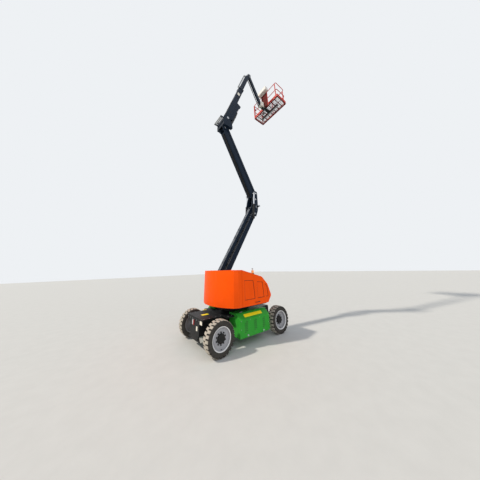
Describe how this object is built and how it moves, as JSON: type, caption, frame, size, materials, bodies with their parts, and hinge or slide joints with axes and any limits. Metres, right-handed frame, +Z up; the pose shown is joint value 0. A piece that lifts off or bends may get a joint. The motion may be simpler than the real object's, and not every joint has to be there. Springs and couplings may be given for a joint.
{
  "type": "articulating boom lift",
  "caption": "Battery boom lift: slewing turntable with orange hoods, folding riser, telescopic boom, levelled jib and railed platform on a steerable wheeled chassis.",
  "frame": {"origin": "on the ground under the middle of the machine's length and width", "axes": "+X towards the steered front axle, +Y to the machine's left, +Z up"},
  "size_m": [4.569, 1.8386, 12.3699],
  "materials": {
    "frame_black": "satin",
    "axle_black": "satin",
    "cover_green": "semi-gloss",
    "battery": "matte",
    "ring_steel": "machined",
    "hood_orange": "gloss",
    "weight_orange": "gloss",
    "beacon_amber": "gloss",
    "tyre_rubber": "matte",
    "rim_grey": "satin",
    "boom_navy": "satin",
    "link_navy": "satin",
    "chrome_rod": "polished",
    "barrel_black": "gloss",
    "roller_grey": "matte",
    "rail_orange": "satin",
    "floor_steel": "galvanised",
    "console_white": "satin"
  },
  "bodies": {
    "chassis": {"chassis_frame": "frame_black", "rear_axle": "axle_black", "front_axle": "axle_black", "battery_cover_left": "cover_green", "battery_cover_right": "cover_green", "battery_packs": "battery", "slew_ring": "ring_steel"},
    "wheel_rear_left": {"tyre_rear_left": "tyre_rubber", "rim_rear_left": "rim_grey"},
    "wheel_rear_right": {"tyre_rear_right": "tyre_rubber", "rim_rear_right": "rim_grey"},
    "wheel_front_left": {"tyre_front_left": "tyre_rubber", "rim_front_left": "rim_grey"},
    "wheel_front_right": {"tyre_front_right": "tyre_rubber", "rim_front_right": "rim_grey"},
    "knuckle_left": {"knuckle_left": "axle_black"},
    "knuckle_right": {"knuckle_right": "axle_black"},
    "tie_rod": {"tie_rod": "ring_steel"},
    "turntable": {"turntable_frame": "frame_black", "counterweight": "weight_orange", "beacon": "beacon_amber"},
    "hood_left": {"hood_left": "hood_orange"},
    "hood_right": {"hood_right": "hood_orange"},
    "lower_riser": {"lower_riser_arm": "boom_navy"},
    "lower_link": {"lower_riser_link": "link_navy"},
    "upright": {"mid_upright": "boom_navy"},
    "upper_riser": {"upper_riser_arm": "boom_navy"},
    "upper_link": {"upper_riser_link": "link_navy"},
    "head": {"riser_head": "boom_navy", "hose_rollers": "roller_grey"},
    "riser_barrels": {"riser_cylinder_barrels": "barrel_black"},
    "riser_rods": {"riser_cylinder_rods": "chrome_rod"},
    "boom": {"boom_outer": "boom_navy", "boom_cheeks": "link_navy"},
    "boom_extension": {"boom_inner": "link_navy", "hose_carrier": "roller_grey"},
    "lift_barrel": {"lift_cylinder_barrel": "barrel_black"},
    "lift_rod": {"lift_cylinder_rod": "chrome_rod"},
    "tip_bracket": {"jib_bracket": "boom_navy"},
    "jib": {"jib_beam": "boom_navy"},
    "jib_lower_link": {"jib_link": "link_navy"},
    "end_bracket": {"platform_bracket": "boom_navy"},
    "platform": {"platform_mount": "frame_black", "platform_floor_frame": "rail_orange", "platform_floor": "floor_steel", "platform_rails": "rail_orange", "toe_boards": "rail_orange", "mount_panel": "rail_orange", "control_console": "console_white"},
    "gate": {"gate": "rail_orange"}
  },
  "joints": [
    {"name": "wheel_rear_left_spin", "type": "hinge", "parent": "chassis", "child": "wheel_rear_left", "pos_m": [-1.93033, 0.77, 0.354], "axis": [0, 1, 0], "continuous": true},
    {"name": "steer_left", "type": "hinge", "parent": "chassis", "child": "knuckle_left", "pos_m": [0.08568, 0.66, 0.354], "axis": [0, 0, 1], "range_deg": [-35, 35]},
    {"name": "wheel_front_left_spin", "type": "hinge", "parent": "knuckle_left", "child": "wheel_front_left", "pos_m": [0.08568, 0.77, 0.354], "axis": [0, 1, 0], "continuous": true},
    {"name": "wheel_rear_right_spin", "type": "hinge", "parent": "chassis", "child": "wheel_rear_right", "pos_m": [-1.93033, -0.77, 0.354], "axis": [0, 1, 0], "continuous": true},
    {"name": "steer_right", "type": "hinge", "parent": "chassis", "child": "knuckle_right", "pos_m": [0.08568, -0.66, 0.354], "axis": [0, 0, 1], "range_deg": [-35, 35]},
    {"name": "wheel_front_right_spin", "type": "hinge", "parent": "knuckle_right", "child": "wheel_front_right", "pos_m": [0.08568, -0.77, 0.354], "axis": [0, 1, 0], "continuous": true},
    {"name": "tie_rod_slide", "type": "slide", "parent": "chassis", "child": "tie_rod", "axis": [0, 1, 0], "range_m": [-0.11, 0.11]},
    {"name": "slew", "type": "hinge", "parent": "chassis", "child": "turntable", "pos_m": [-0.92232, 0, 0.716], "axis": [0, 0, 1], "range_deg": [-177.5, 177.5]},
    {"name": "hood_left_lift", "type": "hinge", "parent": "turntable", "child": "hood_left", "pos_m": [-0.56232, 0.291, 1.56], "axis": [0.9653, 0, -0.261], "range_deg": [0, 60]},
    {"name": "hood_right_lift", "type": "hinge", "parent": "turntable", "child": "hood_right", "pos_m": [-0.56232, -0.291, 1.56], "axis": [-0.9653, 0, 0.261], "range_deg": [0, 60]},
    {"name": "riser_lift", "type": "hinge", "parent": "turntable", "child": "lower_riser", "pos_m": [-1.58032, 0, 1.2], "axis": [0, -1, 0], "range_deg": [-57, 3]},
    {"name": "lower_link_turn", "type": "hinge", "parent": "turntable", "child": "lower_link", "pos_m": [-1.62633, 0, 1.47], "axis": [0, -1, 0], "range_deg": [-57.5, 3.5]},
    {"name": "upright_turn", "type": "hinge", "parent": "lower_riser", "child": "upright", "pos_m": [-0.01757, 0, 3.82155], "axis": [0, -1, 0], "range_deg": [-3.5, 57.5]},
    {"name": "upper_riser_turn", "type": "hinge", "parent": "upright", "child": "upper_riser", "pos_m": [0.06243, 0, 4.44155], "axis": [0, -1, 0], "range_deg": [-3.5, 57.5]},
    {"name": "upper_link_turn", "type": "hinge", "parent": "upright", "child": "upper_link", "pos_m": [0.10843, 0, 4.71155], "axis": [0, -1, 0], "range_deg": [-3.5, 57.5]},
    {"name": "head_level", "type": "hinge", "parent": "upper_riser", "child": "head", "pos_m": [-1.40525, 0, 7.28512], "axis": [0, -1, 0], "range_deg": [-57.5, 3.5]},
    {"name": "riser_cylinder_swing", "type": "hinge", "parent": "lower_riser", "child": "riser_barrels", "pos_m": [-0.14558, 0, 3.60681], "axis": [0, -1, 0], "range_deg": [-4, 58]},
    {"name": "riser_rod_slide", "type": "slide", "parent": "riser_barrels", "child": "riser_rods", "axis": [0.088, 0, 0.9961], "range_m": [-0.408, 0.031]},
    {"name": "boom_luff", "type": "hinge", "parent": "head", "child": "boom", "pos_m": [-1.33025, 0, 7.76112], "axis": [0, -1, 0], "range_deg": [-71.1, 4]},
    {"name": "lift_cylinder_swing", "type": "hinge", "parent": "head", "child": "lift_barrel", "pos_m": [-1.13025, 0, 7.50112], "axis": [0, -1, 0], "range_deg": [-72.1, 5]},
    {"name": "lift_rod_slide", "type": "slide", "parent": "lift_barrel", "child": "lift_rod", "axis": [0.3445, 0, 0.9388], "range_m": [-0.391, 0.031]},
    {"name": "boom_telescope", "type": "slide", "parent": "boom", "child": "boom_extension", "axis": [0.3239, 0, 0.9461], "range_m": [-1.45, 0]},
    {"name": "tip_level", "type": "hinge", "parent": "boom_extension", "child": "tip_bracket", "pos_m": [0.20318, 0, 12.23989], "axis": [0, -1, 0], "range_deg": [-4.5, 71.6]},
    {"name": "jib_luff", "type": "hinge", "parent": "tip_bracket", "child": "jib", "pos_m": [0.31318, 0, 12.29989], "axis": [0, -1, 0], "range_deg": [-11, 109]},
    {"name": "jib_link_turn", "type": "hinge", "parent": "tip_bracket", "child": "jib_lower_link", "pos_m": [0.26318, 0, 12.11489], "axis": [0, -1, 0], "range_deg": [-11.5, 109.5]},
    {"name": "platform_level", "type": "hinge", "parent": "jib", "child": "end_bracket", "pos_m": [1.08032, 0, 10.727], "axis": [0, -1, 0], "range_deg": [-109.5, 11.5]},
    {"name": "platform_rotate", "type": "hinge", "parent": "end_bracket", "child": "platform", "pos_m": [1.27032, 0, 10.727], "axis": [0, 0, 1], "range_deg": [-90, 90]},
    {"name": "gate_swing", "type": "hinge", "parent": "platform", "child": "gate", "pos_m": [2.21532, 0.896, 11.3], "axis": [0, 0, 1], "range_deg": [0, 90]}
  ],
  "couplings": [
    {"joint": "steer_right", "follows": "steer_left", "ratio": 1},
    {"joint": "tie_rod_slide", "follows": "steer_left", "m_per_rad": -0.17},
    {"joint": "lower_link_turn", "follows": "riser_lift", "ratio": 1},
    {"joint": "upright_turn", "follows": "riser_lift", "ratio": -1},
    {"joint": "upper_riser_turn", "follows": "riser_lift", "ratio": -1},
    {"joint": "upper_link_turn", "follows": "riser_lift", "ratio": -1},
    {"joint": "head_level", "follows": "riser_lift", "ratio": 1},
    {"joint": "riser_cylinder_swing", "follows": "riser_lift", "ratio": -0.965},
    {"joint": "riser_rod_slide", "follows": "riser_lift", "m_per_rad": 0.4},
    {"joint": "lift_cylinder_swing", "follows": "boom_luff", "ratio": 0.985},
    {"joint": "lift_rod_slide", "follows": "boom_luff", "m_per_rad": 0.307},
    {"joint": "tip_level", "follows": "boom_luff", "ratio": -1},
    {"joint": "jib_link_turn", "follows": "jib_luff", "ratio": 1},
    {"joint": "platform_level", "follows": "jib_luff", "ratio": -1}
  ]
}
